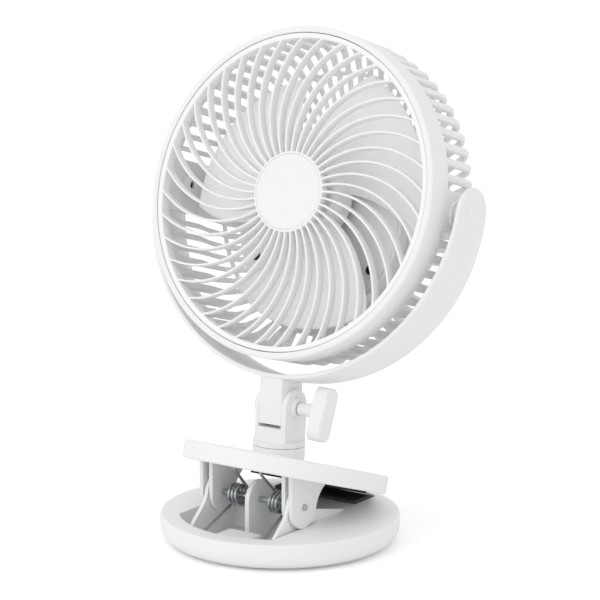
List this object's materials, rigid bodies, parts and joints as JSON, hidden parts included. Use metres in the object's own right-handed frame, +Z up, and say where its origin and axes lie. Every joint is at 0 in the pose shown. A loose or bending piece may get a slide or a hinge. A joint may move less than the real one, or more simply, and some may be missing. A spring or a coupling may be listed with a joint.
{
  "type": "clip fan",
  "caption": "Small fan head in a tilting half-ring yoke, on a swivelling neck and a round sprung clip that also stands as a base.",
  "frame": {"origin": "middle of the underside of the base, on the surface it stands on", "axes": "+Z up, front of the fan and the clip's handle end towards -Y, jaw mouth towards +Y, thumb screw on +X"},
  "size_m": [0.2282, 0.1658, 0.3158],
  "materials": {
    "white_shell": "fine satin moulded white",
    "white_inner": "satin white, seen in shadow",
    "black_rubber": "soft matt black",
    "steel": "plated steel",
    "spring_steel": "oiled spring wire",
    "nylon": "natural nylon",
    "blade_plastic": "smooth pale blade plastic",
    "bronze": "sintered bronze",
    "core_steel": "lacquered steel",
    "copper": "enamelled copper wire",
    "magnet": "dark ferrite",
    "cell_wrap": "shrink-wrapped cells",
    "board_green": "lacquered board",
    "switch_black": "small switch body",
    "button_grey": "satin grey",
    "lens_clear": "clear light guide"
  },
  "bodies": {
    "base": {"base_shell": "white_shell", "base_cover": "white_inner", "base_cover_screws": "steel", "foot_pads": "black_rubber", "lower_jaw_pad": "black_rubber", "hinge_pin": "steel", "torsion_spring_left": "spring_steel", "torsion_spring_right": "spring_steel"},
    "clip_top": {"clip_plate": "white_shell", "clip_under_plate": "white_inner", "clip_plate_screws": "steel", "upper_jaw_pad": "black_rubber"},
    "neck": {"neck_fork": "white_shell", "clamp_nut": "steel", "swivel_washer": "steel", "swivel_screw": "steel"},
    "thumb_screw": {"thumb_knob": "white_shell", "thumb_stud": "steel"},
    "yoke": {"yoke": "white_shell", "yoke_cap_left": "white_shell", "yoke_cap_right": "white_shell"},
    "head": {"pivot_screw_left": "steel", "friction_washer_left": "nylon", "pivot_screw_right": "steel", "friction_washer_right": "nylon", "front_grille": "white_shell", "grille_centre_disc": "white_shell", "rear_housing": "white_shell", "motor_plate": "white_shell", "motor_plate_screws": "steel", "bearing_sleeve": "bronze", "stator_core": "core_steel", "stator_windings": "copper", "rear_pod_cover": "white_shell", "pod_screws": "steel", "battery_cells": "cell_wrap", "battery_holder": "white_inner", "circuit_board": "board_green", "button_switch": "switch_black", "indicator_lens": "lens_clear", "charging_socket": "steel"},
    "rotor": {"fan_blades": "blade_plastic", "rotor_shaft": "steel", "rotor_cup": "core_steel", "rotor_magnet": "magnet"},
    "button": {"speed_button": "button_grey"}
  },
  "joints": [
    {"name": "clip_hinge", "type": "hinge", "parent": "base", "child": "clip_top", "pos_m": [0, -0.0236, 0.031], "axis": [1, 0, 0], "range_deg": [0, 32], "stiffness_Nm_per_rad": 4, "springref_deg": -20.05, "deforming": ["torsion_spring_left", "torsion_spring_right"]},
    {"name": "neck_swivel", "type": "hinge", "parent": "clip_top", "child": "neck", "pos_m": [0, -0.00119, 0.06056], "axis": [0, 0.0698, 0.9976], "range_deg": [-170, 170]},
    {"name": "neck_tilt", "type": "hinge", "parent": "neck", "child": "yoke", "pos_m": [0, 0.0005, 0.0847], "axis": [1, 0, 0], "range_deg": [-40, 5]},
    {"name": "thumb_screw_turn", "type": "hinge", "parent": "neck", "child": "thumb_screw", "pos_m": [0.03, 0.0005, 0.0847], "axis": [1, 0, 0], "range_deg": [-180, 180]},
    {"name": "head_tilt", "type": "hinge", "parent": "yoke", "child": "head", "pos_m": [0, 0.03619, 0.20918], "axis": [1, 0, 0], "range_deg": [-90, 90]},
    {"name": "rotor_spin", "type": "hinge", "parent": "head", "child": "rotor", "pos_m": [0, 0.03619, 0.20918], "axis": [0, -0.9613, 0.2756], "continuous": true},
    {"name": "button_press", "type": "slide", "parent": "head", "child": "button", "axis": [0, -0.9613, 0.2756], "range_m": [0, 0.0003], "stiffness_N_per_m": 400, "springref_m": -0.001}
  ]
}
